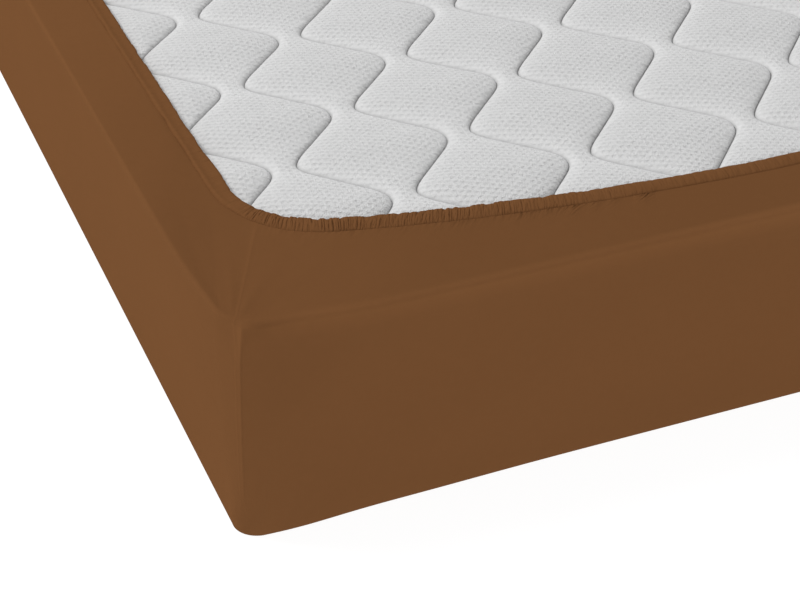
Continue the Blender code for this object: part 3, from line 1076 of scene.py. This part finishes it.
def squeezeTop(x, y):
    # Past the even width the lines crowd towards the edge, limit + rest * (1 - exp(-beyond / rest)), and
    # the four corners are rounded.
    limit = quilt["evenWidth"]
    rest = quilt["edgeWidth"] - limit
    beyond = np.maximum(np.abs(x) - limit, 0)
    squeezed = limit + rest * (1 - np.exp(-beyond / rest))
    x = np.where(beyond > 0, np.sign(x) * squeezed, x)
    x[:, 0] = -quilt["edgeWidth"]
    x[:, -1] = quilt["edgeWidth"]
    corner = quilt["edgeCorner"]
    past = np.maximum(np.abs(y) - (quilt["edgeLength"] - corner), 0)
    rounding = corner - np.sqrt(np.maximum(corner ** 2 - past ** 2, 0))
    return x * (1 - rounding / quilt["edgeWidth"])


def paintedQuiltShade(near, share, slant, across, beside):
    # Painted light and shade: above 0, painted shadow on the far side of the lines that run back; below 0,
    # painted light on their near side, beside the line in the necks between two lines and at the pillows'
    # tips, while a neck's own line gets painted shade. Each fades as exp(-near / reach).
    given = quilt["shade"]
    light = given["nearLight"] * np.exp(-near / given["nearReach"])
    shade = np.where(share < 0.5, np.exp(-near / given["farReach"]), light)
    shade = shade * smoothStep(*given["backSlants"], -slant) * beside
    neck = given["neckLine"] + given["neckLight"] * (1 - np.exp(-near / given["neckReach"]))
    shade = shade + (1 - smoothStep(*given["neckWidths"], across)) * neck
    tip = smoothStep(*given["tipWidths"], across) * np.exp(-near / given["tipReach"])
    return shade + given["tipLight"] * tip * (share > 0.5)


def swaying(size, repeats, sway, swayRepeats, one, other):
    # size * sin(repeats * one + sway * sin(swayRepeats * other)).
    return size * np.sin(repeats * one + sway * np.sin(swayRepeats * other))


def quiltTop():
    # Columns follow the stitched lines and rows run straight across. A pillow rises from its stitches as
    # sharp * (1 - exp(-e / sharpReach)) + soft * (1 - exp(-e / softReach)), e = left * right / both.
    line, share, y = quiltGrid()
    leftX, leftSlope = quiltLine(line, y)
    rightX, rightSlope = quiltLine(line + 1, y)
    across = rightX - leftX
    x = leftX + across * share
    left = (x - leftX) / np.hypot(1, leftSlope)
    right = (rightX - x) / np.hypot(1, rightSlope)
    near = left * right / np.maximum(left + right, 1e-9)
    sharp = 1 - np.exp(-near / quilt["sharpReach"])
    soft = 1 - np.exp(-near / quilt["softReach"])
    uneven = 1 + swaying(*quilt["unevenAcross"], x, y) + swaying(*quilt["unevenAlong"], y, x)
    x = squeezeTop(x, y)
    y = np.broadcast_to(y, x.shape)
    press = 1 - quilt["pressed"] * (1 - smoothStep(*quilt["pressedTo"], insideOpening(x, y)))
    z = quilt["stitchHeight"] + quilt["pillow"] * blend(soft, sharp, quilt["sharpShare"]) * uneven * press
    dip = quilt["dip"]
    dipX, dipY = dip["place"]
    z = z - dip["depth"] * hump(x, dipX, dip["reach"]) * hump(y, dipY, dip["reach"])
    beside = smoothStep(*quilt["grooveShares"], np.abs(share - 0.5))
    groove = np.exp(-near / quilt["grooveReach"]) * beside
    slant = np.clip(np.where(share < 0.5, leftSlope, rightSlope), -1, 1)
    along = y + quilt["lineStretch"] * np.floor(line + share + 0.5)  # each line has its own noise
    shade = paintedQuiltShade(near, share, slant, across, beside)
    return together(x, y, z), together(along, slant, groove), shade


def makeQuiltedMattress():
    # The quilted top, then rings round its outline: out and down round the top edge, down the side, in at
    # the foot, and one flat face below.
    top, stitching, shade = quiltTop()
    rows, columns = top.shape[:2]
    index = np.arange(rows * columns).reshape(rows, columns)
    loop = np.concatenate([index[0, :-1], index[:-1, -1], index[-1, :0:-1], index[:0:-1, 0]])
    edge = top.reshape(-1, 3)[loop]
    heading = np.roll(edge, -1, axis=0) - np.roll(edge, 1, axis=0)
    heading = heading / np.linalg.norm(heading[:, :2], axis=1, keepdims=True)
    outward = together(heading[:, 1], -heading[:, 0])
    count = len(loop)
    rings = [together(*(edge[:, :2] + outward * reach).T, height) for reach, height in quilt["sides"]]
    points = np.concatenate([top.reshape(-1, 3)] + rings)
    ringIndex = np.vstack([loop, rows * columns + np.arange(count * len(rings)).reshape(-1, count)])
    after = np.roll(ringIndex, -1, axis=1)
    sides = together(ringIndex[1:], after[1:], after[:-1], ringIndex[:-1]).reshape(-1, 4)
    cap = ringIndex[-1][::-1][None]
    faceSets = [gridFaces(rows, columns, closed=False), sides, cap]
    piece = makePiece("quiltedMattress", points, faceSets, whiteKnit)
    addValues(piece, "stitching", stitching, 3)
    addValues(piece, "shade", shade, 1)
    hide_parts("mattress")


makeQuiltedMattress()


stage = {
    "floorSize": 40.0,
    "floorDrop": 0.0005,  # how far the floor is below the sheet
    "floor": {
        "Base Color": (0.20, 0.20, 0.20, 1.0),
        "Roughness": 0.9,
        "Specular IOR Level": 0.0,
        "Emission Color": (1.0, 1.0, 1.0, 1.0),
        "Emission Strength": 0.92},
    "skyGlow": 0.40,
    "key": {"place": (-5.94, 4.96, 9.44), "aim": (-0.3, -0.3, 0.25), "size": 4.8, "power": 924.0},
    "fill": {"place": (-0.6, -7.0, 2.0), "aim": (-0.3, -0.5, 0.15), "size": 3.0, "power": 55.0},
}


def makeFloor():
    # A wide flat sheet just under the bed, pale and faintly glowing, so that it reads as white.
    reach = stage["floorSize"] / 2
    corners = [(x * reach, y * reach, -stage["floorDrop"]) for x, y in ((-1, -1), (1, -1), (1, 1), (-1, 1))]
    mesh = bpy.data.meshes.new("floor")
    mesh.from_pydata(corners, [], [(0, 1, 2, 3)])
    mesh.materials.append(startMaterial("paleFloor", stage["floor"])[0])
    floor = addObject("floor", mesh)


def makeSky():
    # An even white glow from all round.
    world = bpy.data.worlds.new("studio")
    bpy.context.scene.world = world
    world.use_nodes = True
    sky = world.node_tree.nodes["Background"]
    sky.inputs["Color"].default_value = (1.0, 1.0, 1.0, 1.0)
    sky.inputs["Strength"].default_value = stage["skyGlow"]


def aimed(place, towards, roll):
    # Columns of the matrix: right, up and back, where back is against the aim, turned about it by the roll.
    back = -np.asarray(towards, dtype=float)
    back = back / np.linalg.norm(back)
    right = np.cross([0.0, 0.0, 1.0], back)
    right = right / np.linalg.norm(right)
    up = np.cross(back, right)
    rolledRight = right * math.cos(roll) + up * math.sin(roll)
    rolledUp = up * math.cos(roll) - right * math.sin(roll)
    turned = Matrix(together(rolledRight, rolledUp, back).tolist()).to_4x4()
    turned.translation = place
    return turned


def makeLamp(name):
    # A square soft lamp, aimed at a place.
    chosen = stage[name]
    light = bpy.data.lights.new(name, "AREA")
    light.size = chosen["size"]
    light.energy = chosen["power"]
    towards = np.array(chosen["aim"]) - np.array(chosen["place"])
    addObject(name, light).matrix_world = aimed(chosen["place"], towards, 0.0)


view = {
    "place": (-1.110, -2.579, 1.326),
    "azimuth": -20.66,
    "elevation": 32.56,
    "roll": -1.43,
    "lens": 89.79,
    "sensor": 36.0,
    "farthest": 100.0,
}


def makeCamera():
    # Aimed by two angles: towards = (-sin a cos e, cos a cos e, -sin e).
    azimuth = math.radians(view["azimuth"])
    elevation = math.radians(view["elevation"])
    level = math.cos(elevation)
    towards = (-math.sin(azimuth) * level, math.cos(azimuth) * level, -math.sin(elevation))
    camera = addObject("camera", bpy.data.cameras.new("camera"))
    camera.data.lens = view["lens"]
    camera.data.sensor_width = view["sensor"]
    camera.data.clip_end = view["farthest"]
    camera.matrix_world = aimed(view["place"], towards, math.radians(view["roll"]))
    bpy.context.scene.camera = camera


makeFloor()
makeSky()
makeLamp("key")
makeLamp("fill")
makeCamera()
bpy.context.scene.view_settings.view_transform = "Standard"
print("floor, light and camera are in place")
